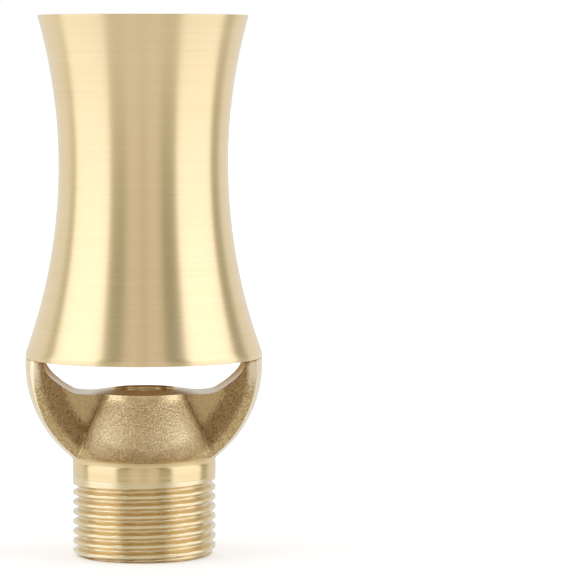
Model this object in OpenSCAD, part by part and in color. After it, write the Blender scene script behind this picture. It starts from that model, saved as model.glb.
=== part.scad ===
// Air-entraining fountain nozzle, turned and cast in brass.
// Two pieces: a yoke-shaped nozzle body with a threaded inlet and a jet bore,
// and a flared hourglass sleeve that screws down over the ring on top of the yoke.
// Origin: centre of the inlet face. +Z runs up the water axis. The two yoke arms
// stand on the X axis and the two open windows face -Y and +Y.

/* [Inlet] */
// Crest diameter of the outer inlet thread (G 3/4)
inlet_d = 26.44; // [26.3:0.01:26.5]
// Root diameter of the outer inlet thread
inlet_root_d = 24.12; // [23.8:0.02:24.6]
// Pitch of both inlet threads (14 turns per inch)
thread_pitch = 1.814; // [1.75:0.002:1.85]
// Grooves in the outer inlet thread
outer_grooves = 6; // [4:1:6]
// Crest diameter of the inner inlet thread (G 1/2)
socket_crest_d = 18.631; // [18.4:0.001:19.0]
// Root diameter of the inner inlet thread
socket_root_d = 20.955; // [20.6:0.001:21.2]
// Grooves in the inner inlet thread
inner_grooves = 5; // [3:1:6]
// Diameter of the inlet face
face_d = 24.4; // [23.9:0.1:25]
// Diameter of the smooth collar above the outer thread
collar_d = 26.5; // [26.5:0.02:27]
// Height of the collar's upper edge
collar_top = 17.8; // [17.4:0.1:18]

/* [Yoke] */
// Radius of the spherical outside of the yoke
bowl_r = 21.92; // [21.9:0.02:22.2]
// Height of the centre of that sphere
bowl_z = 35.66; // [35.6:0.02:36]
// Height of the shoulder that the sleeve comes down on
seat_z = 36.8; // [36.4:0.1:37.2]
// Thickness of an arm at the collar
arm_t_low = 13.0; // [12:0.1:13.6]
// Thickness of an arm at the shoulder
arm_t_high = 14.9; // [14.2:0.1:15.8]
// Depth of the pocket in each face of an arm
pocket_depth = 1.9; // [1:0.1:2.4]
// Radius of the pocket's floor about the bowl centre
pocket_floor_r = 15.2; // [14.5:0.1:16]
// Radius of the pocket's edge about the bowl centre
pocket_edge_r = 19.3; // [18.5:0.1:19.8]
// Outer diameter of the jet cone at its top
cone_top_d = 19.0; // [18:0.1:20]
// Outer diameter of the jet cone at its foot, just above the collar
cone_low_d = 27.8; // [26.8:0.1:27.9]

/* [Jet] */
// Diameter of the jet bore
jet_d = 11.6; // [9:0.1:12.4]
// Height of the jet's lip
jet_lip_z = 31.0; // [30.6:0.1:31.4]

/* [Screwed joint] */
// Outer diameter of the ring that the sleeve screws on to
ring_d = 39.0; // [38.4:0.1:39.2]
// Bore of that ring
ring_bore_d = 36.6; // [36:0.1:36.8]
// Height of that ring above the shoulder
ring_h = 3.6; // [2.5:0.1:3.8]
// Radial clearance between the ring and the sleeve
joint_gap = 0.05; // [0.02:0.01:0.09]
// Gap left under the sleeve when it is screwed home
seat_gap = 0.03; // [0.01:0.01:0.1]

/* [Sleeve] */
// Outer diameter of the sleeve's bottom band
sleeve_base_d = 43.7; // [43.4:0.02:43.8]
// Outer diameter at the waist
waist_d = 31.28; // [30.4:0.02:32]
// Height of the waist
waist_z = 72.65; // [71.4:0.05:73.4]
// Radius of the outer curve below the waist
curve_low_r = 101; // [98:0.5:104]
// Radius of the outer curve above the waist
curve_high_r = 99.5; // [95:0.5:110]
// Height of the sleeve's rim
sleeve_top = 99.9; // [95.4:0.1:104.4]
// Wall thickness of the sleeve
sleeve_wall = 2; // [1.6:0.1:2.2]

/* [Hidden] */
$fn = 128;
curve_fn = 720;                   // facets of the sleeve's long curves
body_color = [0.80, 0.66, 0.40];
sleeve_color = [0.84, 0.74, 0.53];

overcut = 1;                      // how far a cut runs past the face it opens
clear_r = 30;                     // radius outside the whole body
clear_z = 60;                     // height above the whole body

half_crest = thread_pitch * 0.14; // half of a thread's flat crest
half_root = thread_pitch * 0.08;  // half of a thread's flat root
outer_start = 1.45;               // where the outer thread's first full crest begins
inner_start = 1.40;               // where the inner thread's first full crest begins

foot_z = collar_top - 1;          // the jet cone and the arms start inside the collar
arm_lean = (arm_t_high - arm_t_low) / 2 / (seat_z - collar_top);

// Half thickness of an arm at height z.
function arm_half(z) = arm_t_low / 2 + arm_lean * (z - collar_top);

// Outline of a run of ring grooves that stand in for a thread, as [radius, z]
// points from the bottom crest to the top one.
function groove_points(start_z, count, crest_r, root_r) = concat(
    [[crest_r, start_z]],
    [for (i = [0:count - 1])
        let (low_z = start_z + i * thread_pitch,
             root_z = low_z + thread_pitch / 2 + half_crest)
        each [
            [crest_r, low_z + 2 * half_crest],
            [root_r, root_z - half_root],
            [root_r, root_z + half_root],
            [crest_r, low_z + thread_pitch]]],
    [[crest_r, start_z + count * thread_pitch + 2 * half_crest]]);

// Threaded inlet and the smooth collar above it, joined by a shallow neck.
module inlet() {
    chamfer_top = 0.95;
    neck_r = inlet_d / 2 - 0.25;
    neck_low = collar_top - 4.6;
    neck_high = collar_top - 4.2;
    collar_low = collar_top - 3.9;
    rotate_extrude() polygon(concat(
        [[0, 0], [face_d / 2, 0], [inlet_d / 2, chamfer_top]],
        groove_points(outer_start, outer_grooves, inlet_d / 2, inlet_root_d / 2),
        [[neck_r, neck_low], [neck_r, neck_high],
         [collar_d / 2, collar_low], [collar_d / 2, collar_top], [0, collar_top]]));
}

// Bell-shaped cone that carries the jet bore and stands on the collar.
module jet_cone() {
    plug_r = collar_d / 2 - 0.05;
    plug_top = collar_top + 0.4;
    blank_top = 34.4;             // the dish trims the cone below this
    flare = (cone_low_d - cone_top_d) / 2;
    // share of the flare left, height
    bell = [
        [1, collar_top + 1], [0.80, 21.0], [0.55, 23.8], [0.305, 26.2],
        [0.09, 28.6], [0, 30.2], [0, blank_top]];
    rotate_extrude() polygon(concat(
        [[0, foot_z], [plug_r, foot_z], [plug_r, plug_top]],
        [for (station = bell) [cone_top_d / 2 + flare * station[0], station[1]]],
        [[0, blank_top]]));
}

// The slab between the two faces of the arms, widening with height.
module arm_slab() {
    length = 50;
    low = 16;
    top = seat_z + 1.6;
    translate([-length / 2, 0, 0]) rotate([90, 0, 90]) linear_extrude(length) polygon([
        [-arm_half(low), low], [arm_half(low), low],
        [arm_half(top), top], [-arm_half(top), top]]);
}

// Tapered pocket in the +Y face of the arms, square to that face.
module arm_pocket() {
    cut_h = pocket_depth + 4;     // runs on at the same taper outside the face
    taper = (pocket_edge_r - pocket_floor_r) / pocket_depth;
    translate([0, arm_half(bowl_z), bowl_z])
        rotate([-90 - atan(arm_lean), 0, 0])
            translate([0, 0, -pocket_depth])
                cylinder(h = cut_h, r1 = pocket_floor_r, r2 = pocket_floor_r + taper * cut_h);
}

// Two arms, still joined across the middle until the dish and the bore are cut.
module arms() {
    trim_low = -10;
    difference() {
        intersection() {
            arm_slab();
            translate([0, 0, bowl_z]) sphere(r = bowl_r);
        }
        arm_pocket();
        mirror([0, 1, 0]) arm_pocket();
        translate([0, 0, trim_low]) cylinder(h = foot_z - trim_low, r = clear_r);
    }
}

// Dished inside of the yoke, from the jet's lip out to the ring's bore.
module turned_dish() {
    // radius, height
    dish = [
        [7.4, 30.8], [9.2, 30.5], [11.2, 30.3], [13.2, 30.42], [14.1, 30.67],
        [14.8, 31.07], [16.1, 31.9], [17.13, 32.65], [18.07, 33.37], [18.8, 34.13],
        [19.35, 34.9], [19.53, 35.35], [19.62, 35.8]];
    edge = [19.55, 36.15];        // from here a 45 degree slope leads in to the ring's bore
    bore_r = ring_bore_d / 2;
    rotate_extrude() polygon(concat(
        [[0, clear_z], [0, jet_lip_z], [jet_d / 2, jet_lip_z]],
        dish,
        [edge, [bore_r, edge[1] + edge[0] - bore_r], [bore_r, clear_z]]));
}

// Inner thread with a 45 degree mouth, water way and jet bore.
module water_way() {
    crest_r = socket_crest_d / 2;
    root_r = socket_root_d / 2;
    socket_end = inner_start + 2 * half_crest + inner_grooves * thread_pitch;
    rotate_extrude() polygon(concat(
        [[0, -overcut], [crest_r + inner_start + overcut, -overcut]],
        groove_points(inner_start, inner_grooves, crest_r, root_r),
        [[root_r, socket_end + 0.7], [root_r, socket_end + 1.7],
         [jet_d / 2, socket_end + 4.6], [jet_d / 2, clear_z], [0, clear_z]]));
}

// Everything outside the ring above the shoulder.
module shoulder_cut() {
    rotate_extrude() polygon([
        [ring_d / 2, seat_z], [clear_r, seat_z], [clear_r, clear_z], [ring_d / 2, clear_z]]);
}

// Ring on top of the arms that the sleeve screws on to.
module joint_ring() {
    foot_bevel = 0.6;             // at the bottom of the bore
    top_bevel = 0.4;              // at the top outer edge
    bore_r = ring_bore_d / 2;
    outer_r = ring_d / 2;
    top = seat_z + ring_h;
    rotate_extrude() polygon([
        [bore_r, seat_z + foot_bevel], [bore_r + foot_bevel, seat_z], [outer_r, seat_z],
        [outer_r, top - top_bevel], [outer_r - top_bevel, top], [bore_r, top]]);
}

module nozzle_body() {
    color(body_color) {
        difference() {
            union() {
                inlet();
                jet_cone();
                arms();
            }
            turned_dish();
            water_way();
            shoulder_cut();
        }
        joint_ring();
    }
}

// Half-section of the sleeve's wall on one side of the waist.
module wall_section(curve_r, low, high) {
    centre = [waist_d / 2 + curve_r, waist_z];
    intersection() {
        translate([0, low]) square([sleeve_base_d / 2, high - low]);
        difference() {
            translate(centre) circle(r = curve_r + sleeve_wall, $fn = curve_fn);
            translate(centre) circle(r = curve_r, $fn = curve_fn);
        }
    }
}

// Bore that fits over the ring, bevelled at its bottom edge.
module sleeve_bore() {
    bore_r = ring_d / 2 + joint_gap;
    mouth_r = bore_r + 0.35;
    bevel_top = seat_z + 0.4;
    bore_top = seat_z + ring_h + 0.2;
    rotate_extrude() polygon([
        [0, seat_z - overcut], [mouth_r, seat_z - overcut], [mouth_r, seat_z + seat_gap],
        [bore_r, bevel_top], [bore_r, bore_top], [0, bore_top]]);
}

// Conical cut that thins the wall to a narrow lip at the rim.
module rim_cut() {
    low = sleeve_top - 8;
    high = sleeve_top + overcut;
    low_r = waist_d / 2 + 1.65 - sleeve_wall;
    high_r = waist_d / 2 + 2.6;
    rotate_extrude() polygon([[0, low], [low_r, low], [high_r, high], [0, high]]);
}

module flared_sleeve() {
    color(sleeve_color) difference() {
        rotate_extrude() {
            wall_section(curve_low_r, seat_z + seat_gap, waist_z);
            wall_section(curve_high_r, waist_z, sleeve_top);
        }
        sleeve_bore();
        rim_cut();
    }
}

nozzle_body();
flared_sleeve();
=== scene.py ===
"""A turned and cast brass nozzle: a two-armed body with a flared sleeve seated on it.

The part stands upright on its threaded inlet: its axis is Z and the inlet face is at z = 0.
The arms of the body run along X and the camera looks from -Y, so -X is on its left.
"""
import functools
import math

import bmesh
import bpy
import numpy as np
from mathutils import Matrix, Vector, noise


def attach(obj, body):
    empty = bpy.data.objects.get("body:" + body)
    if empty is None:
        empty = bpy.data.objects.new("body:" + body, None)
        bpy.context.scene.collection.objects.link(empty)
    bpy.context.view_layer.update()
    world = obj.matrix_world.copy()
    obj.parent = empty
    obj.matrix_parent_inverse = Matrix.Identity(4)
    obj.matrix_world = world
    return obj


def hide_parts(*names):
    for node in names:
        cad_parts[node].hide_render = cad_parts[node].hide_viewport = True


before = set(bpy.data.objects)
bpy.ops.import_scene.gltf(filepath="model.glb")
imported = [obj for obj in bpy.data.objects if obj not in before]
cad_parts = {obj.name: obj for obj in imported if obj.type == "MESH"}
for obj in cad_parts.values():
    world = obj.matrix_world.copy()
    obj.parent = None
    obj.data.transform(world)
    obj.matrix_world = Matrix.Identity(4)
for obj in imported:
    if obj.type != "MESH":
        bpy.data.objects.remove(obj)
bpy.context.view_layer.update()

MM = 0.001
TAU = 2 * math.pi

# ------------------------------------------------------------------ dimensions (mm)
FOOT = 0.40             # heights are laid out from a plane this far above the inlet face
BASE_Z = -FOOT          # inlet face, in those heights

BOWL_R = 21.92          # sphere that the arms are turned to
BOWL_Z = 35.26          # its centre
SEAT_Z = 36.40          # top of the arms, where the sleeve sits
COLLAR_TOP = 17.40

INLET_R = 13.22         # crests of the outer inlet thread
BORE_CREST_R = 9.3155   # crests of the inner inlet thread
INLET_PITCH = 1.814
INLET_THREAD_DEPTH = 1.16
INLET_CREST_Z = 1.387   # a crest of the outer thread on the +X side
INLET_THREAD_END = 13.75

RING_R = 19.50          # threaded ring that holds the sleeve
RING_BORE = 18.30
RING_TOP = 40.00
RING_PITCH = 1.0

WAIST_R = 15.64         # narrowest place of the sleeve
WAIST_Z = 72.25
LOW_R = 101.0           # arc of the sleeve's side below the waist
HIGH_R = 99.5           # and above it
TOP_Z = 99.5
WALL = 2.0
SLEEVE_Z = SEAT_Z + 0.03
SLEEVE_CORNER_R = 21.85     # where the sleeve's curve meets its straight foot
SLEEVE_BORE = 19.55

ARM_HALF = 6.5          # half thickness of the arms at the collar top
ARM_TAPER = 0.05        # growth of it with height
POCKET_DEPTH = 1.9
POCKET_R = 19.3         # outer edge of the pocket, from the bowl's centre
POCKET_SLOPE = 4.1      # width of the pocket's sloping wall

# filed corner of the -X arm on its -Y side: distance of its edge from the bowl's centre
FILED_R = 20.15         # at height FILED_Z
FILED_Z = 35
FILED_SLOPE = 0.065
FILED_KNEE_Z = 26.0     # below this the edge also moves out by the knee slope
FILED_KNEE_SLOPE = 0.3

CAMERA_TURN = math.radians(-0.4)    # round Z, from -Y


# ------------------------------------------------------------------ shader nodes
FALL = (1.0, 0.0)       # for remap: full at the start of the span, none at its end


class Nodes:
    """Builds the nodes of one tree. Values may be numbers, sockets or nodes."""

    def __init__(self, tree):
        self.tree = tree
        tree.nodes.clear()

    def node(self, kind, inputs=None, **settings):
        made = self.tree.nodes.new(kind)
        for name, value in settings.items():
            setattr(made, name, value)
        self.fill(made, inputs or {})
        return made

    def fill(self, node, inputs):
        for key, value in inputs.items():
            if isinstance(value, bpy.types.Node):
                value = value.outputs[0]
            if isinstance(value, bpy.types.NodeSocket):
                self.tree.links.new(value, node.inputs[key])
            else:
                node.inputs[key].default_value = value

    def math(self, operation, first, second=None, clamp=False):
        inputs = {0: first}
        if second is not None:
            inputs[1] = second
        made = self.node("ShaderNodeMath", inputs, operation=operation, use_clamp=clamp)
        return made.outputs[0]

    def add(self, first, second):
        return self.math("ADD", first, second)

    def sub(self, first, second):
        return self.math("SUBTRACT", first, second)

    def mul(self, *values):
        return functools.reduce(lambda done, value: self.math("MULTIPLY", done, value), values)

    def max(self, first, second):
        return self.math("MAXIMUM", first, second)

    def invert(self, mask):
        return self.sub(1.0, mask)

    def length(self, first, second):
        return self.math("SQRT", self.add(self.mul(first, first), self.mul(second, second)))

    def weighted(self, first, second):
        """Sum of two (value, weight) pairs."""
        return self.add(self.mul(*first), self.mul(*second))

    def scale(self, vector, factor):
        inputs = {0: vector, "Scale": factor}
        return self.node("ShaderNodeVectorMath", inputs, operation="SCALE").outputs[0]

    def split(self, vector):
        return tuple(self.node("ShaderNodeSeparateXYZ", {0: vector}).outputs)

    def xyz(self, x, y, z):
        return self.node("ShaderNodeCombineXYZ", {0: x, 1: y, 2: z}).outputs[0]

    def stretched(self, x, y, z, across, along):
        """Noise space with its own frequencies across and along the axis."""
        return self.xyz(self.mul(x, across), self.mul(y, across), self.mul(z, along))

    def noise(self, vector, scale=1.0, detail=2.0, rough=0.5):
        inputs = {"Vector": vector, "Scale": scale, "Detail": detail, "Roughness": rough,
                  "Distortion": 0.0}
        return self.node("ShaderNodeTexNoise", inputs).outputs[0]

    def ramp(self, value, stops):
        """Colour ramp from (position, colour) stops."""
        made = self.node("ShaderNodeValToRGB", {0: value})
        elements = made.color_ramp.elements
        while len(elements) > 1:
            elements.remove(elements[-1])
        for i, (position, colour) in enumerate(stops):
            stop = elements[0] if i == 0 else elements.new(position)
            stop.position = position
            stop.color = (*colour, 1)
        return made.outputs[0]

    def remap(self, value, span, to=(0.0, 1.0)):
        """Clamped linear map of a span of values to another."""
        inputs = dict(enumerate((value, *span, *to)))
        return self.node("ShaderNodeMapRange", inputs).outputs[0]

    def mix(self, under, over, amount, blend="MIX"):
        inputs = {0: amount, 6: under, 7: over}
        return self.node("ShaderNodeMix", inputs, data_type="RGBA", blend_type=blend).outputs[2]


def rgb(*channels):
    """sRGB 0-255 to linear."""
    linear = []
    for value in channels:
        value /= 255
        linear.append(value / 12.92 if value <= 0.04045 else ((value + 0.055) / 1.055) ** 2.4)
    return (*linear, 1.0)


class Brass(Nodes):
    """A metal material, with its place on the part in the millimetres of this file."""

    def __init__(self, name):
        self.material = bpy.data.materials.new(name)
        self.material.use_nodes = True
        super().__init__(self.material.node_tree)
        metres = self.node("ShaderNodeTexCoord").outputs["Object"]
        inputs = {0: self.scale(metres, 1 / MM), 1: (0.0, 0.0, FOOT)}
        self.place = self.node("ShaderNodeVectorMath", inputs, operation="SUBTRACT").outputs[0]
        self.x, self.y, self.z = self.split(self.place)
        self.radius = self.length(self.x, self.y)
        self.shader = self.node("ShaderNodeBsdfPrincipled", {"Metallic": 1.0})
        self.node("ShaderNodeOutputMaterial", {0: self.shader})

    def around_axis(self, scale=1.0):
        """Direction from the axis, for noise that varies round the part but not outwards."""
        inverse = self.math("DIVIDE", scale, self.max(self.radius, 0.01))
        return self.mul(self.x, inverse), self.mul(self.y, inverse)

    def tool_lines(self, fine, coarse=None, cone=0.0):
        """Turned tool marks as (coarse, fine) noise; the arguments are lines along the axis.

        cone is the share of the radius added to the height, for conical faces.
        """
        turn_x, turn_y = self.around_axis(scale=0.35)
        along = self.add(self.z, self.mul(self.radius, cone))
        coarse_lines = None
        if coarse is not None:
            space = self.xyz(turn_x, turn_y, self.mul(along, coarse))
            coarse_lines = self.noise(space, detail=2.0, rough=0.6)
        space = self.stretched(turn_x, turn_y, along, across=3.0, along=fine)
        return coarse_lines, self.noise(space, detail=3.0, rough=0.7)

    def finish(self, colour, roughness, height, strength, distance, anisotropy=None):
        """Sets the shader; height, strength and distance are the bump's."""
        bump = self.node("ShaderNodeBump", {"Height": height, "Strength": strength,
                                            "Distance": distance})
        self.fill(self.shader, {"Base Color": colour, "Roughness": roughness, "Normal": bump})
        if anisotropy is not None:
            tangent = self.node("ShaderNodeTangent", direction_type="RADIAL", axis="Z")
            # a quarter turn: the light streaks across the tool lines
            self.fill(self.shader, {"Anisotropic": anisotropy, "Tangent": tangent,
                                    "Anisotropic Rotation": 0.25})
        return self.material


# ------------------------------------------------------------------ materials
def satin_brass():
    """Outside of the sleeve: satin turned brass, fine lines round the axis."""
    mat = Brass("satin_turned_brass")
    coarse, fine = mat.tool_lines(coarse=1.6, fine=14.0)
    tone = mat.mix(rgb(244, 222, 177), rgb(248, 227, 184), mat.remap(coarse, span=(0.3, 0.7)))
    lines = mat.remap(fine, span=(0.35, 0.75), to=(0.0, 0.18))
    tone = mat.mix(tone, rgb(240, 216, 168), lines)
    streaks = mat.noise(mat.stretched(*mat.around_axis(), mat.z, across=6.0, along=0.05))
    patches = mat.remap(streaks, span=(0.4, 0.7), to=(0, 0.2))
    return mat.finish(
        colour=mat.mix(tone, rgb(242, 221, 180), patches),
        roughness=mat.remap(fine, span=(0.3, 0.8), to=(0.25, 0.31)),
        height=mat.weighted((coarse, 0.10), (fine, 0.6)),
        strength=0.018, distance=0.0001, anisotropy=0.72)


def inner_brass():
    """Inside of the sleeve: rougher turned brass, its tone darkened as painted shade."""
    mat = Brass("bored_brass")
    coarse, fine = mat.tool_lines(coarse=2.2, fine=10.0)
    return mat.finish(
        # painted shade: a darker tone than the outside of the sleeve
        colour=mat.mix(rgb(214, 180, 122), rgb(228, 198, 142),
                       mat.remap(coarse, span=(0.3, 0.7))),
        roughness=mat.remap(fine, span=(0.3, 0.8), to=(0.30, 0.44)),
        height=fine, strength=0.25, distance=0.0002, anisotropy=0.5)


def turned_brass():
    """Machined outside and dish of the body, and the collar."""
    mat = Brass("turned_brass")
    z, radius = mat.z, mat.radius
    coarse, fine = mat.tool_lines(coarse=2.4, fine=12.0, cone=1.0)
    bowl_squared = mat.add(mat.mul(radius, radius),
                           mat.math("POWER", mat.sub(z, BOWL_Z), 2.0))
    dish = mat.mul(mat.remap(z, span=(29.2, 29.4)),
                   mat.remap(bowl_squared, span=(19.8 ** 2, 20.6 ** 2), to=FALL))
    # painted light in the middle of the dish, painted shade on its sides
    dish_middle_painted_light = mat.mul(dish, mat.remap(radius, span=(9.3, 11.0), to=FALL))
    dish_side_painted_shade = mat.mul(dish, mat.remap(radius, span=(9.3, 11.0), to=(0.0, 0.8)))
    # the band lies just above the collar
    band = mat.mul(mat.remap(z, span=(17.18, 17.3)), mat.remap(z, span=(18.5, 19.0), to=FALL))
    # painted shade: the collar below the band is darker
    below_band_painted_shade = mat.remap(z, span=(17.15, 17.25), to=(0.5, 0.0))

    tone = mat.mix(rgb(240, 220, 176), rgb(246, 229, 188), mat.remap(coarse, span=(0.3, 0.7)))
    tone = mat.mix(tone, rgb(255, 240, 200), dish_middle_painted_light)
    tone = mat.mix(tone, rgb(210, 182, 138), dish_side_painted_shade)
    tone = mat.mix(tone, rgb(240, 215, 164), mat.mul(band, 0.7))
    tone = mat.mix(tone, rgb(228, 202, 152), below_band_painted_shade)

    dish_rough = mat.mul(dish, mat.remap(radius, span=(9.0, 10.5), to=(1.3, 0.7)))
    extra_rough = mat.mul(mat.max(band, dish_rough), 0.14)
    return mat.finish(
        colour=tone,
        roughness=mat.add(mat.remap(fine, span=(0.3, 0.8), to=(0.13, 0.22)), extra_rough),
        height=mat.weighted((coarse, 0.4), (fine, 0.5)),
        strength=0.09, distance=0.00012, anisotropy=0.45)


def cast_brass():
    """As-cast skin of the yoke: grainy golden brass, with painted shade in the hollows, creases and
    pocket walls and a painted highlight on the cone's sides.
    """
    mat = Brass("cast_brass")
    x, y, z, radius = mat.x, mat.y, mat.z, mat.radius
    grain = mat.noise(mat.place, scale=2.9, detail=3.0, rough=0.66)
    fine = mat.noise(mat.place, scale=8.0, detail=2.0, rough=0.6)
    broad = mat.noise(mat.place, scale=0.35, detail=2.0, rough=0.5)

    def shade(distance, span):
        """Painted shade mask of the hollows, from ambient occlusion; distance is in metres."""
        made = mat.node("ShaderNodeAmbientOcclusion", {"Distance": distance}, samples=6)
        return mat.remap(made.outputs["AO"], span=span, to=FALL)

    # distances: from the bowl's centre in the XZ plane (also with a wavering edge), and sideways
    bowl_distance = mat.length(x, mat.sub(z, BOWL_Z))
    wavering = mat.add(bowl_distance, mat.remap(broad, span=(0.3, 0.7), to=(-0.25, 0.25)))
    side_x = mat.math("ABSOLUTE", x)
    side_y = mat.math("ABSOLUTE", y)
    cone_radius = mat.remap(z, span=(20.4, 28.7), to=(13.12, 9.72))
    web_half = mat.add(mat.mul(z, ARM_TAPER), ARM_HALF - POCKET_DEPTH - ARM_TAPER * COLLAR_TOP)
    past_cone = mat.sub(radius, cone_radius)
    past_web = mat.sub(side_y, web_half)

    # painted shade on the sloping wall of each pocket
    wall_ring = mat.mul(mat.remap(wavering, span=(14.6, 16.0)),
                        mat.remap(wavering, span=(18.5, 19.6), to=FALL))
    slope = mat.mul(wall_ring, mat.remap(radius, span=(11.6, 13.2)))
    # painted shade: a dark line in the crease where the web meets the cone, on both of them
    crease_line_painted_shade = mat.mul(mat.remap(past_web, span=(0.05, 1.9), to=FALL),
                   mat.remap(past_cone, span=(0.15, 0.75), to=FALL),
                   mat.remap(z, span=(19.2, 22.0)))
    arm = mat.remap(past_cone, span=(0.1, 0.7))
    pocket_floor = mat.mul(arm, mat.remap(wavering, span=(14.8, 15.4), to=FALL))
    ragged_z = mat.add(z, mat.remap(grain, span=(0.3, 0.7), to=(-1.2, 1.2)))
    worn = mat.mul(mat.remap(wavering, span=(18.9, 19.6)),
                   mat.remap(ragged_z, span=(30.5, 34.5)))
    cone = mat.mul(mat.invert(arm), mat.remap(past_web, span=(0.5, 1.5)))
    # painted highlight on the sides of the cone, paler away from its middle
    cone_sides_painted_highlight = mat.mul(mat.remap(side_x, span=(2.5, 7.0), to=(0.0, 0.85)),
                     mat.remap(z, span=(25.0, 29.0), to=(1.0, 0.3)), cone)
    cone_ends = mat.mul(mat.max(mat.remap(z, span=(28.5, 29.2)),
                                mat.remap(z, span=(18.5, 19.3), to=FALL)), cone)
    above_collar = mat.remap(z, span=(19.6, 21.4))
    # painted shade from ambient occlusion, darker in the hollows and in the creases
    hollow_painted_shade = mat.mul(shade(distance=0.009, span=(0.25, 0.85)),
                   mat.remap(z, span=(34.6, 35.6), to=FALL), above_collar)
    crease_painted_shade = mat.mul(shade(distance=0.0016, span=(0.45, 0.85)), above_collar)
    # painted shade: the middle of the cone is darker towards its foot
    cone_foot_painted_shade = mat.mul(mat.remap(z, span=(21.0, 24.0), to=FALL),
                        mat.remap(z, span=(19.0, 20.2)), cone,
                        mat.remap(side_x, span=(3.5, 8.5), to=FALL))
    # filed smooth and bright
    edge = mat.add(mat.mul(z, -FILED_SLOPE), FILED_R + FILED_Z * FILED_SLOPE)
    edge = mat.add(edge, mat.mul(mat.max(mat.sub(FILED_KNEE_Z, z), 0.0), FILED_KNEE_SLOPE))
    filed = mat.mul(mat.remap(mat.sub(bowl_distance, edge), span=(-0.05, 0.10)),
                    mat.mul(mat.remap(x, span=(-10.0, -8.0), to=FALL),
                            mat.remap(y, span=(-5.0, -4.0), to=FALL)))

    grains = mat.remap(grain, span=(0.38, 0.62))
    pits = mat.mul(mat.remap(grain, span=(0.36, 0.48), to=(0.5, 0.0)),
                   mat.math("SUBTRACT", arm, pocket_floor, clamp=True))
    tone = mat.mix(rgb(208, 180, 130), rgb(253, 233, 188), grains)
    # tone of the painted highlight on the cone's sides
    highlight_tone = mat.mix(rgb(240, 214, 160), rgb(255, 246, 204), grains)
    layers = (
        (highlight_tone, cone_sides_painted_highlight),
        (rgb(255, 247, 216), mat.remap(fine, span=(0.50, 0.64), to=(0, 0.6))),
        (rgb(168, 134, 84), mat.remap(fine, span=(0.34, 0.44), to=(0.6, 0.0))),
        (rgb(232, 206, 156), mat.mul(cone_ends, 0.5)),
        (rgb(232, 208, 162), mat.mul(pocket_floor, 0.5)),
        (rgb(160, 126, 80), pits),
        (rgb(224, 196, 146), mat.remap(broad, span=(0.4, 0.65), to=(0, 0.18))),
    )
    for colour, mask in layers:
        tone = mat.mix(tone, colour, mask)
    # linear colours that darken the tone by multiplying it: darker arms and pocket floors, and
    # painted shade in the hollows, creases, pocket walls and on the cone's foot
    stains_and_painted_shade = (
        ((0.84, 0.79, 0.70, 1), mat.mul(arm, mat.invert(worn))),
        ((0.93, 0.92, 0.92, 1), pocket_floor),
        # painted shade on the pocket walls
        ((0.66, 0.60, 0.54, 1), slope),
        ((0.80, 0.76, 0.70, 1), hollow_painted_shade),
        ((0.72, 0.66, 0.58, 1), crease_painted_shade),
        ((0.52, 0.46, 0.39, 1), crease_line_painted_shade),
        ((0.80, 0.77, 0.73, 1), cone_foot_painted_shade),
    )
    for colour, mask in stains_and_painted_shade:
        tone = mat.mix(tone, colour, mask, blend="MULTIPLY")
    tone = mat.mix(tone, rgb(252, 234, 198), filed)
    tone = mat.mix(tone, rgb(255, 240, 212), mat.mul(worn, mat.invert(filed)))

    cone_rough = mat.remap(grain, span=(0.3, 0.75), to=(0.20, 0.13))
    arm_rough = mat.remap(grain, span=(0.3, 0.75), to=(0.38, 0.26))
    smooth = mat.max(filed, mat.mul(cone_ends, 0.75))
    return mat.finish(
        colour=tone,
        roughness=mat.node("ShaderNodeMix", {0: arm, 2: cone_rough, 3: arm_rough},
                           data_type="FLOAT"),
        height=mat.weighted((grain, 0.7), (fine, 0.3)),
        strength=mat.remap(smooth, span=(0.0, 1.0), to=(1.0, 0.12)), distance=0.00022)


def thread_brass():
    """Cut outer thread of the inlet: bright, with duller flanks and painted shade on its bottom
    edge.
    """
    mat = Brass("thread_brass")
    radius = mat.radius
    _, fine = mat.tool_lines(fine=16.0)
    wear = mat.noise(mat.scale(mat.place, 0.55))
    flank = mat.mul(mat.remap(radius, span=(12.10, 12.30)),
                    mat.remap(radius, span=(12.80, 13.12), to=FALL))
    dull = mat.mul(flank, mat.remap(wear, span=(0.35, 0.65), to=(0.35, 0.75)))
    # painted shade on the downward-facing bottom chamfer
    bottom_edge_painted_shade = mat.remap(mat.z, span=(-0.30, 0.10), to=(0.9, 0.0))
    chatter = mat.noise(mat.stretched(mat.x, mat.y, mat.z, across=2.2, along=5.0),
                        detail=3.0, rough=0.7)
    tone = mat.mix(rgb(240, 226, 196), rgb(242, 226, 188),
                   mat.remap(radius, span=(12.06, 12.7)))
    tone = mat.mix(tone, rgb(230, 212, 180), dull)
    tone = mat.mix(tone, rgb(150, 116, 68), bottom_edge_painted_shade)
    tone = mat.mix(tone, rgb(226, 200, 154),
                   mat.remap(chatter, span=(0.52, 0.72), to=(0, 0.4)))
    return mat.finish(
        colour=tone,
        roughness=mat.remap(fine, span=(0.3, 0.8), to=(0.18, 0.32)),
        height=mat.weighted((chatter, 0.6), (fine, 0.4)),
        strength=0.22, distance=0.0002, anisotropy=0.3)


def bore_brass():
    """Inner thread and water way: golden brass darkened as painted shade, with painted light making
    it paler towards the top.
    """
    mat = Brass("bore_brass")
    coarse, fine = mat.tool_lines(coarse=2.0, fine=12.0)
    # painted shade: a darker base tone inside the water way
    tone = mat.mix(rgb(206, 160, 92), rgb(222, 182, 118), mat.remap(coarse, span=(0.3, 0.7)))
    # painted light: paler towards the top, near the opening
    top = mat.remap(mat.z, span=(24.0, 27.0), to=(0.0, 0.8))
    return mat.finish(
        colour=mat.mix(tone, rgb(240, 218, 176), top),
        roughness=mat.remap(fine, span=(0.3, 0.8), to=(0.14, 0.28)),
        height=fine, strength=0.2, distance=0.00015)


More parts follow.
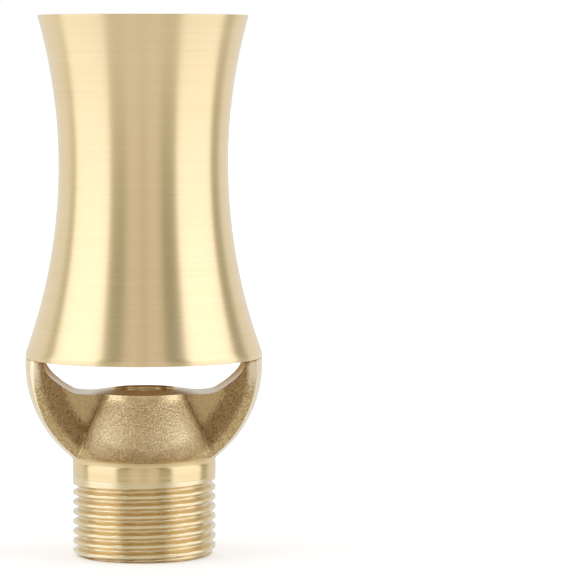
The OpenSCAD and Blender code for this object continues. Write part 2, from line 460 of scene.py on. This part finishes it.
SLEEVE_MATERIALS = [satin_brass(), inner_brass()]
SLOT_SATIN, SLOT_INNER = range(2)
TURNED = turned_brass()
BODY_MATERIALS = [cast_brass(), TURNED, thread_brass(), bore_brass()]
SLOT_CAST, SLOT_TURNED, SLOT_THREAD, SLOT_BORE = range(4)


# ------------------------------------------------------------------ mesh helpers
def new_object(name, verts, faces, materials, slots):
    mesh = bpy.data.meshes.new(name)
    metres = (np.asarray(verts, float) + (0, 0, FOOT)) * MM
    mesh.from_pydata([tuple(v) for v in metres], [], [tuple(map(int, f)) for f in faces])
    for material in materials:
        mesh.materials.append(material)
    mesh.polygons.foreach_set("material_index", np.asarray(slots, dtype=np.int32))
    mesh.update()
    ob = bpy.data.objects.new(name, mesh)
    bpy.context.scene.collection.objects.link(ob)
    return ob


def in_slot(points, slot):
    return [(radius, z, slot) for radius, z in points]


def revolve(name, rows, segments, materials, threaded=(), cut=None, capped=False):
    """A solid of revolution from (radius, z, material slot) rows.

    The section is a closed loop, or runs from axis to axis if capped. cut(theta, z) gives
    the change of radius on the threaded rows.
    """
    theta = np.arange(segments) * TAU / segments
    rings = np.zeros((len(rows), segments, 3))
    for i, (radius, z, _) in enumerate(rows):
        radii = np.full(segments, float(radius))
        if i in threaded:
            radii = radii + cut(theta, z)
        rings[i, :, 0] = radii * np.cos(theta)
        rings[i, :, 1] = radii * np.sin(theta)
        rings[i, :, 2] = z
    verts = rings.reshape(-1, 3)
    sides = [(j, (j + 1) % segments) for j in range(segments)]
    faces = []
    slots = []
    for i in range(len(rows) - 1 if capped else len(rows)):
        here = i * segments
        after = (i + 1) % len(rows) * segments
        faces += [(here + j, here + k, after + k, after + j) for j, k in sides]
        slots += [rows[i][2]] * segments
    if capped:
        start = len(verts)
        end = start + 1
        last = (len(rows) - 1) * segments
        verts = np.vstack([verts, (0, 0, rows[0][1]), (0, 0, rows[-1][1])])
        faces = ([(start, k, j) for j, k in sides] + faces
                 + [(last + j, last + k, end) for j, k in sides])
        slots = [rows[0][2]] * segments + slots + [rows[-1][2]] * segments
    return new_object(name, verts, faces, materials, slots)


def boolean(ob, other, operation):
    """Applies a boolean to ob and removes the other object."""
    modifier = ob.modifiers.new("b", "BOOLEAN")
    modifier.operation = operation
    modifier.solver = "MANIFOLD"
    modifier.object = other
    depsgraph = bpy.context.evaluated_depsgraph_get()
    mesh = bpy.data.meshes.new_from_object(ob.evaluated_get(depsgraph), depsgraph=depsgraph)
    ob.modifiers.clear()
    old = ob.data
    ob.data = mesh
    bpy.data.meshes.remove(old)
    bpy.data.objects.remove(other)


def helix_depth(theta, z, pitch, crest_z, crest, root):
    """0 on a crest, 1 in a root, for a right-hand thread with a crest at crest_z on +X.

    crest and root are the flats, as shares of the pitch.
    """
    phase = (z - crest_z) / pitch - theta / TAU
    from_crest = np.abs(phase - np.round(phase)) * 2      # 0 mid crest, 1 mid root
    return np.clip((from_crest - crest) / (1 - crest - root), 0, 1)


def smooth01(t):
    t = np.clip(t, 0, 1)
    return t * t * (3 - 2 * t)


# ------------------------------------------------------------------ sleeve
def flare_radius(z, arc_radius, depth=0.0):
    """Radius of the sleeve's side at a height, at a depth below its outside."""
    return WAIST_R + arc_radius - math.sqrt((arc_radius + depth) ** 2 - (z - WAIST_Z) ** 2)


def build_sleeve():
    corner_z = WAIST_Z - math.sqrt(LOW_R ** 2 - (WAIST_R + LOW_R - SLEEVE_CORNER_R) ** 2)
    # points are (radius, height)
    outer = [(21.76, SLEEVE_Z), (21.81, SLEEVE_Z + 0.015), (21.84, SLEEVE_Z + 0.05),
             (21.845, SLEEVE_Z + 0.12), (21.845, corner_z - 0.12),
             (21.835, corner_z - 0.03), (21.80, corner_z + 0.08)]
    outer += [(flare_radius(z, LOW_R), z) for z in np.linspace(corner_z + 0.25, WAIST_Z, 60)]
    outer += [(flare_radius(z, HIGH_R), z) for z in np.linspace(WAIST_Z, TOP_Z - 0.18, 48)[1:]]

    rim_r = flare_radius(TOP_Z, HIGH_R)
    mouth_r = rim_r - 1.14
    rim = [(rim_r - 0.03, TOP_Z - 0.05), (rim_r - 0.15, TOP_Z), (rim_r - 0.95, TOP_Z),
           (rim_r - 1.08, TOP_Z - 0.05), (mouth_r, TOP_Z - 0.2)]

    inner = []
    for z in np.linspace(TOP_Z - 0.6, 40.2, 70):
        side = flare_radius(z, HIGH_R if z > WAIST_Z else LOW_R, WALL)
        # the wall thins towards the rim
        lip = mouth_r - (TOP_Z - z) * (0.62 if z > TOP_Z - 8 else 9)
        inner.append((max(side, lip), z))
    inner += [(18.95, 40.2), (SLEEVE_BORE - 0.1, 40.2), (SLEEVE_BORE, 40.1)]
    thread = [(SLEEVE_BORE, z) for z in np.linspace(40.0, SLEEVE_Z + 0.62, 44)]
    entry = [(SLEEVE_BORE + 0.02, SLEEVE_Z + 0.55), (SLEEVE_BORE + 0.45, SLEEVE_Z + 0.05),
             (SLEEVE_BORE + 0.52, SLEEVE_Z)]

    def cut(theta, z):
        top_fade = (39.95 - z) / 0.35 if z > 39.6 else 1.0
        bottom_fade = max(0.0, (z - SLEEVE_Z - 0.62)) / 0.3
        fade = max(min(1.0, top_fade, bottom_fade), 0)
        return 0.46 * fade * helix_depth(theta, z, RING_PITCH, crest_z=0.0, crest=0.24, root=0.14)

    first = len(outer) + len(rim) + len(inner)
    rows = in_slot(outer + rim, SLOT_SATIN) + in_slot(inner + thread + entry, SLOT_INNER)
    return revolve("flared_sleeve_shell", rows, 288, SLEEVE_MATERIALS,
                   threaded=range(first, first + len(thread)), cut=cut)


# ------------------------------------------------------------------ casting blank
# side of the cone between the arms: (height, radius)
CONE = np.array([
    (14.0, 15.30), (17.4, 14.26), (18.4, 13.90), (19.5, 13.48), (20.6, 13.02),
    (22.0, 12.50), (23.4, 11.92), (24.6, 11.38), (25.8, 10.84), (27.0, 10.34),
    (28.2, 9.90), (29.8, 9.50), (31.0, 9.40), (40.0, 9.40)])

BLANK_LOW = (-23.4, -13.6, 15.9)
BLANK_HIGH = (23.4, 13.6, 37.9)
BLANK_CELL = 0.29


def smooth_min(first, second, blend):
    overlap = np.maximum(blend - np.abs(first - second), 0) / blend
    return np.minimum(first, second) - overlap * overlap * blend * 0.25


def smooth_max(first, second, blend):
    return -smooth_min(-first, -second, blend)


def blank_field(x, y, z):
    """Signed field of the casting before it is turned: below zero is metal."""
    bowl_distance = np.sqrt(x * x + (z - BOWL_Z) ** 2)
    half = ARM_HALF + ARM_TAPER * (z - COLLAR_TOP)
    side_y = np.abs(y)
    # pocket: depth grows from the flange's edge inwards to the web
    depth = smooth_max((POCKET_R - bowl_distance) / POCKET_SLOPE, np.zeros_like(x), 0.05)
    depth = smooth_min(depth, np.ones_like(x), 0.09)
    arms = side_y - (half - POCKET_DEPTH * depth)
    # rounded top edge of the flange
    arms = smooth_max(arms, z - SEAT_Z - 0.06, 0.9)
    # filed corner, faded out away from the -X, -Y side
    edge = (FILED_R + (FILED_Z - z) * FILED_SLOPE
            + np.maximum(0, FILED_KNEE_Z - z) * FILED_KNEE_SLOPE)
    bevel = ((bowl_distance - edge) * 0.72 + (side_y - half) * 0.69
             - 3 * smooth01((x + 8) / 4) - 3 * smooth01((y + 4) / 2))
    arms = smooth_max(arms, bevel, 0.3)
    arms = smooth_max(arms, bowl_distance - 23.2, 0.5)
    # 0.93 makes the slanted distance nearly true
    cone = (np.sqrt(x * x + y * y) - np.interp(z, CONE[:, 0], CONE[:, 1])) * 0.93
    return smooth_min(arms, cone, 0.14)


def surface_nets(field, low, high, cell):
    """Quad mesh of the field's zero surface: one vertex in each cell that it crosses."""
    axes = [np.arange(low[i], high[i] + cell * 0.5, cell) for i in range(3)]
    values = field(*np.meshgrid(*axes, indexing="ij"))
    # close the block at its faces
    for axis in range(3):
        for end in (0, -1):
            side = [slice(None)] * 3
            side[axis] = end
            values[tuple(side)] = np.maximum(values[tuple(side)], cell * 0.5)
    size = values.shape
    solid = values < 0

    corners = [(i, j, k) for i in (0, 1) for j in (0, 1) for k in (0, 1)]
    count = np.zeros([n - 1 for n in size], dtype=np.int8)
    for corner in corners:
        count += solid[tuple(slice(c, n - 1 + c) for c, n in zip(corner, size))]
    active = (count > 0) & (count < 8)
    vertex = -np.ones(active.shape, dtype=np.int64)
    vertex[active] = np.arange(active.sum())

    # each vertex is the mean of the crossings on its cell's edges
    cells = np.nonzero(active)
    points = np.zeros((len(cells[0]), 3))
    crossings = np.zeros(len(points))
    edges = [(a, b) for a in corners for b in corners
             if a < b and sum(abs(a[i] - b[i]) for i in range(3)) == 1]
    for start, end in edges:
        at_start = values[tuple(cells[i] + start[i] for i in range(3))]
        at_end = values[tuple(cells[i] + end[i] for i in range(3))]
        crosses = (at_start < 0) != (at_end < 0)
        share = np.where(crosses, at_start / np.where(crosses, at_start - at_end, 1), 0)
        for i in range(3):
            points[:, i] += np.where(crosses, start[i] + share * (end[i] - start[i]), 0)
        crossings += crosses
    points /= crossings[:, None]
    points = points * cell + np.stack([axes[i][cells[i]] for i in range(3)], 1)

    # one quad round each grid edge that the surface crosses
    faces = []
    for axis in range(3):
        others = [(axis + 1) % 3, (axis + 2) % 3]
        near = [slice(1, n - 1) for n in size]
        far = list(near)
        near[axis] = slice(0, size[axis] - 1)
        far[axis] = slice(1, size[axis])
        before, after = solid[tuple(near)], solid[tuple(far)]
        for flip, leaves in ((False, before & ~after), (True, ~before & after)):
            base = np.argwhere(leaves)
            base[:, others] += 1
            quad = []
            for back in ((0, 0), (1, 0), (1, 1), (0, 1)):
                place = base.copy()
                place[:, others] -= back
                quad.append(vertex[tuple(place.T)])
            quads = np.stack(quad, 1)
            faces.append(quads[:, ::-1] if flip else quads)
    return points, np.concatenate(faces)


def gradient(field, points, step):
    """Values and gradients of a field at points."""
    value = field(*points.T)
    slopes = [(field(*(points[:, i] + step * (i == axis) for i in range(3))) - value) / step
              for axis in range(3)]
    return value, np.stack(slopes, 1)


def project(field, points):
    """Moves points on to the field's zero surface."""
    for _ in range(3):
        value, slope = gradient(field, points, 0.02)
        steepness = np.maximum((slope * slope).sum(1), 0.2)
        points = points - (value / steepness)[:, None] * slope * 0.9
    return points


def cast_lump(point):
    """Height of the cast skin's shallow lumps and pits."""
    place = Vector(point)
    return noise.noise(place * 0.8) * 0.022 + noise.noise(place * 2.1 + Vector((7, 3, 1))) * 0.034


def build_blank():
    points, quads = surface_nets(blank_field, BLANK_LOW, BLANK_HIGH, BLANK_CELL)
    # the flat faces of the block are left alone
    inside = np.all([(points[:, i] > BLANK_LOW[i] + 0.6) & (points[:, i] < BLANK_HIGH[i] - 0.6)
                     for i in range(3)], axis=0)
    points[inside] = project(blank_field, points[inside])
    _, normal = gradient(blank_field, points, 0.03)
    normal /= np.maximum(np.linalg.norm(normal, axis=1), 1e-6)[:, None]
    lumps = np.array([cast_lump(point) for point in points])
    lumps[~inside] = 0
    points = points + normal * lumps[:, None]
    return new_object("blank", points, quads, BODY_MATERIALS, np.full(len(quads), SLOT_CAST))


# ------------------------------------------------------------------ turned envelope of the yoke
# the dish, from the water way out to its rim: (radius, height)
DISH = [
    (5.3, 30.62), (5.95, 30.62), (6.1, 30.58), (7.4, 30.4), (9.2, 30.1), (10.2, 29.96),
    (11.2, 29.9), (12.2, 29.92), (13.2, 30.02), (13.7, 30.12), (14.1, 30.27), (14.45, 30.45),
    (14.8, 30.67), (15.45, 31.09), (16.1, 31.5), (16.62, 31.87), (17.13, 32.25),
    (17.62, 32.6), (18.07, 32.97), (18.45, 33.34), (18.8, 33.73), (19.1, 34.11),
    (19.35, 34.5), (19.53, 34.95), (19.62, 35.4), (19.60, 35.62), (19.55, 35.75),
    (18.34, 36.96), (18.34, 37.1)]
ENVELOPE_BASE_Z = 16.85
ENVELOPE_FOOT_R = 13.44     # where the spherical outside ends above the collar


def build_envelope():
    """What the casting is turned down to."""
    top_angle = math.degrees(math.asin((SEAT_Z - 0.12 - BOWL_Z) / BOWL_R))
    foot_z = BOWL_Z - math.sqrt(BOWL_R ** 2 - ENVELOPE_FOOT_R ** 2)
    foot_angle = math.degrees(math.asin((foot_z - BOWL_Z) / BOWL_R))
    sphere_r = BOWL_R - 0.003
    profile = [(DISH[0][0], ENVELOPE_BASE_Z)] + DISH
    profile += [(19.40, 37.1), (19.40, SEAT_Z), (21.72, SEAT_Z), (21.83, SEAT_Z - 0.03)]
    for i in range(61):
        angle = math.radians(top_angle + (foot_angle - top_angle) * i / 60)
        profile.append((sphere_r * math.cos(angle), BOWL_Z + sphere_r * math.sin(angle)))
    profile += [(13.42, foot_z - 0.06), (13.34, foot_z - 0.2), (13.22, foot_z - 0.5),
                (13.18, foot_z - 0.7), (13.18, ENVELOPE_BASE_Z)]
    return revolve("envelope", in_slot(profile[::-1], SLOT_TURNED), 288, BODY_MATERIALS)


def build_ring():
    """The threaded ring that stands on the arms."""
    foot = [(RING_BORE, SEAT_Z + 0.60), (RING_BORE + 0.6, SEAT_Z - 0.04),
            (RING_R - 0.12, SEAT_Z - 0.04), (RING_R - 0.02, SEAT_Z + 0.06)]
    thread = [(RING_R, z) for z in np.linspace(SEAT_Z + 0.35, RING_TOP - 0.35, 46)]
    top = [(RING_R - 0.38, RING_TOP - 0.02), (RING_R - 0.45, RING_TOP),
           (RING_BORE + 0.15, RING_TOP), (RING_BORE, RING_TOP - 0.12), (RING_BORE, 38.0)]

    def cut(theta, z):
        fade = smooth01((z - SEAT_Z - 0.35) / 0.5)
        chamfer = max(0.0, z - (RING_TOP - 0.7)) * 0.9
        depth = helix_depth(theta, z, RING_PITCH, crest_z=0.5, crest=0.16, root=0.14)
        return -np.maximum(0.55 * fade * depth, chamfer)

    return revolve("ring", in_slot(foot + thread + top, SLOT_TURNED), 272, BODY_MATERIALS,
                   threaded=range(len(foot), len(foot) + len(thread)), cut=cut)


# ------------------------------------------------------------------ inlet
# neck and collar above the outer thread: (radius from the crests, height)
NECK = [(-0.035, 14.36), (-0.035, 14.42), (-0.005, 14.48), (-0.01, 14.6), (0.035, 15.5),
        (0.04, 15.56), (0.04, 16.2), (0.04, 16.95), (0.03, 17.06), (-0.02, 17.16),
        (-0.10, 17.22), (-0.30, 17.26), (-0.8, 17.26)]

# ends of the water way: (radius, height above the inlet face)
WATERWAY_MOUTH = [(12.2, -1.6), (11.1, -0.5), (10.62, -0.02), (10.5, 0.1), (9.95, 0.62)]
WATERWAY_TAPER = [(10.45, 12.35), (10.48, 13.6), (10.3, 13.9), (6.2, 16.9), (5.8, 17.3)]
# jet bore: (radius, height)
JET_BORE = [(5.8, 20.0), (5.8, 24.0), (5.8, 28.0), (5.8, 30.2), (5.84, 30.4), (6.0, 30.62),
            (6.3, 30.9), (6.4, 31.6)]


def build_inlet():
    bottom = [(11.9, BASE_Z), (12.18, BASE_Z), (12.26, BASE_Z + 0.05)]
    thread = [(INLET_R, z) for z in np.arange(-0.30, 14.30, 0.10)]
    neck = [(INLET_R + step, z) for step, z in NECK]

    def cut(theta, z):
        depth = helix_depth(theta, z, INLET_PITCH, INLET_CREST_Z, crest=0.24, root=0.10)
        depth = 0.65 * depth + 0.35 * smooth01(depth)
        # the groove runs out where its centre nears the thread's end
        phase = (z - INLET_CREST_Z) / INLET_PITCH - theta / TAU
        centre = INLET_CREST_Z + INLET_PITCH * (np.floor(phase) + 0.5 + theta / TAU)
        fade = smooth01((INLET_THREAD_END - centre) / (INLET_PITCH * 0.30))
        chamfer = np.maximum(0, 0.52 - z) * 1.1
        return -np.maximum(INLET_THREAD_DEPTH * depth * fade, chamfer)

    rows = in_slot(bottom, SLOT_TURNED) + in_slot(thread, SLOT_THREAD)
    rows += in_slot(neck, SLOT_TURNED)
    return revolve("inlet", rows, 236, BODY_MATERIALS, capped=True,
                   threaded=range(len(bottom), len(bottom) + len(thread)), cut=cut)


def build_waterway():
    """What is taken out of the middle: inner thread, relief, taper and jet bore."""
    mouth = [(radius, BASE_Z + z) for radius, z in WATERWAY_MOUTH]
    thread = [(BORE_CREST_R, z) for z in np.arange(BASE_Z + 0.72, BASE_Z + 12.2, 0.14)]
    taper = [(radius, BASE_Z + z) for radius, z in WATERWAY_TAPER]

    def cut(theta, z):
        depth = helix_depth(theta, z, INLET_PITCH, BASE_Z + 0.55, crest=0.26, root=0.18)
        chamfer = np.maximum(0, BASE_Z + 1.45 - z) * 0.9
        return np.maximum(INLET_THREAD_DEPTH * depth, chamfer)

    rows = in_slot(mouth + thread + taper + JET_BORE, SLOT_BORE)
    return revolve("waterway", rows, 144, BODY_MATERIALS, capped=True,
                   threaded=range(len(mouth), len(mouth) + len(thread)), cut=cut)


def build_body():
    ob = build_blank()
    boolean(ob, build_envelope(), "INTERSECT")
    boolean(ob, build_ring(), "UNION")
    boolean(ob, build_inlet(), "UNION")
    boolean(ob, build_waterway(), "DIFFERENCE")
    ob.name = "nozzle_body_casting"
    ob.data.name = ob.name
    return ob


def finish_mesh(ob, angle):
    """Welds and smooths a mesh, with edges sharper than the angle (degrees) kept sharp."""
    mesh = ob.data
    work = bmesh.new()
    work.from_mesh(mesh)
    bmesh.ops.remove_doubles(work, verts=work.verts, dist=2e-7)
    bmesh.ops.recalc_face_normals(work, faces=work.faces)
    work.to_mesh(mesh)
    work.free()
    for polygon in mesh.polygons:
        polygon.use_smooth = True
    mesh.set_sharp_from_angle(angle=math.radians(angle))


sleeve = build_sleeve()
finish_mesh(sleeve, angle=35)
body = build_body()
finish_mesh(body, angle=34)

for ob, node, slot in ((sleeve, "flared_sleeve", "satin_brass"),
                       (body, "nozzle_body", "cast_brass")):
    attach(ob, node)
    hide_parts(node)


# ------------------------------------------------------------------ floor
FLOOR_HALF = 6.0        # metres


def floor_material():
    """Matt near-white that glows a little, seen only from above."""
    material = bpy.data.materials.new("studio_floor")
    material.use_nodes = True
    nodes = Nodes(material.node_tree)
    place = nodes.node("ShaderNodeTexCoord").outputs["Object"]
    speckle = nodes.remap(nodes.noise(place, scale=900.0), span=(0.3, 0.7))
    surface = nodes.node("ShaderNodeBsdfPrincipled", {
        "Base Color": nodes.mix(rgb(244, 244, 243), rgb(248, 248, 247), speckle),
        "Roughness": 0.7,
        "Specular IOR Level": 0.0,
        "Emission Color": (1, 1, 1, 1),
        "Emission Strength": 0.34,
    })
    clear = nodes.node("ShaderNodeBsdfTransparent")
    # one-sided, so the part can be seen from below
    below = nodes.node("ShaderNodeNewGeometry").outputs["Backfacing"]
    sides = nodes.node("ShaderNodeMixShader", {0: below, 1: surface, 2: clear})
    nodes.node("ShaderNodeOutputMaterial", {0: sides})
    return material


def build_floor():
    mesh = bpy.data.meshes.new("studio_floor")
    corners = [(x * FLOOR_HALF, y * FLOOR_HALF, 0) for x, y in ((-1, -1), (1, -1), (1, 1), (-1, 1))]
    mesh.from_pydata(corners, [], [(0, 1, 2, 3)])
    ob = bpy.data.objects.new("studio_floor", mesh)
    bpy.context.scene.collection.objects.link(ob)
    mesh.materials.append(floor_material())
    ob.visible_glossy = False
    return ob


build_floor()


# ------------------------------------------------------------------ light
WHITE = (1, 1, 1)
COOL_HIGH = (1, 1.0, 1.05)
COOL_LEVEL = (1, 1.0, 1.03)
OLIVE = (1.0, 0.97, 0.80)
WARM = (1.0, 0.93, 0.86)
CREAM = (1, 0.97, 0.9)
PALE_CREAM = (1, 0.98, 0.95)


def lit(level, colour=WHITE):
    return tuple(level * channel for channel in colour)


def panel_ring(nodes, turn, back, softbox, flag_left, flag_right, card, card_middle, gap):
    """Panels round the part: softboxes at both sides, flags, and a card towards the camera.

    gap lies behind each softbox, and back behind that. turn is 0 to 1, with the camera at 0.5.
    """
    edge = tuple(v * k for v, k in zip(back, (0.94, 0.965, 1.04)))
    gap_left = lit(1.3, gap)
    # degrees from the camera, positive towards +X
    stops = [
        (-180, edge), (-150, back), (-118, back), (-112, gap_left), (-105, gap_left),
        (-101, softbox), (-48, softbox), (-43, flag_left), (-26, flag_left),
        (-20, card), (-8, card), (0, card_middle), (7, card), (20, card),
        (26, flag_right), (42, flag_right), (48, softbox), (101, softbox),
        (106, gap), (118, gap), (127, back), (150, back), (180, edge)]
    return nodes.ramp(turn, [(degrees / 360 + 0.5, colour) for degrees, colour in stops])


def build_world():
    """Panels for the light and reflections; plain white for the camera."""
    world = bpy.data.worlds.new("studio")
    bpy.context.scene.world = world
    world.use_nodes = True
    nodes = Nodes(world.node_tree)
    x, y, up = nodes.split(nodes.node("ShaderNodeTexCoord").outputs["Generated"])
    azimuth = nodes.add(nodes.math("ARCTAN2", x, nodes.mul(y, -1.0)), -CAMERA_TURN)
    turn = nodes.add(nodes.math("DIVIDE", azimuth, TAU), 0.5)

    high = panel_ring(
        nodes, turn, back=lit(0.80), softbox=lit(1.42, COOL_HIGH), flag_left=lit(0.36, OLIVE),
        flag_right=lit(0.32, OLIVE), card=lit(0.70, WARM), card_middle=lit(0.56, WARM),
        gap=lit(0.34, OLIVE))
    level = panel_ring(
        nodes, turn, back=lit(0.82), softbox=lit(1.24, COOL_LEVEL), flag_left=lit(0.56, OLIVE),
        flag_right=lit(0.48, OLIVE), card=lit(0.74, WARM), card_middle=lit(0.58, WARM),
        gap=lit(0.50, OLIVE))
    low = panel_ring(
        nodes, turn, back=lit(0.84), softbox=lit(1.01), flag_left=lit(0.74, CREAM),
        flag_right=lit(0.72, CREAM), card=lit(0.76, CREAM), card_middle=lit(0.74, CREAM),
        gap=lit(0.72, PALE_CREAM))

    sky = nodes.mix(level, high, nodes.remap(up, span=(-0.08, 0.30)))
    sky = nodes.mix(sky, low, nodes.remap(up, span=(-0.10, -0.40)))
    overhead = nodes.remap(up, span=(0.84, 0.97))
    sky = nodes.mix(sky, (0.75, 0.74, 0.72, 1), overhead)
    underneath = nodes.remap(up, span=(-0.92, -0.6), to=FALL)
    sky = nodes.mix(sky, (0.55, 0.53, 0.50, 1), underneath)

    panels = nodes.node("ShaderNodeBackground", {"Color": sky, "Strength": 1.0})
    white = nodes.node("ShaderNodeBackground", {"Color": (1, 1, 1, 1), "Strength": 1.0})
    seen = nodes.node("ShaderNodeLightPath").outputs["Is Camera Ray"]
    shown = nodes.node("ShaderNodeMixShader", {0: seen, 1: panels, 2: white})
    nodes.node("ShaderNodeOutputWorld", {0: shown})
    world.cycles.sampling_method = "MANUAL"
    world.cycles.sample_map_resolution = 1024


build_world()


# ------------------------------------------------------------------ camera (metres)
CAMERA_DISTANCE = 0.628
CAMERA_HEIGHT = 0.0912      # this and the target's height are above the layout plane
TARGET_RIGHT = 0.0267       # the camera aims this far to the right of the axis
TARGET_HEIGHT = 0.0491


def build_camera():
    lens = bpy.data.cameras.new("camera")
    lens.lens = 212.5
    lens.sensor_width = 36.0
    lens.clip_start = 0.01
    lens.clip_end = 50
    camera = bpy.data.objects.new("camera", lens)
    bpy.context.scene.collection.objects.link(camera)
    sine, cosine = math.sin(CAMERA_TURN), math.cos(CAMERA_TURN)
    camera.location = (CAMERA_DISTANCE * sine, -CAMERA_DISTANCE * cosine,
                       CAMERA_HEIGHT + FOOT * MM)
    target = Vector((TARGET_RIGHT * cosine, TARGET_RIGHT * sine, TARGET_HEIGHT + FOOT * MM))
    camera.rotation_euler = (target - camera.location).to_track_quat("-Z", "Y").to_euler()
    bpy.context.scene.camera = camera


build_camera()
bpy.context.scene.view_settings.view_transform = "Standard"
bpy.context.scene.view_settings.look = "None"
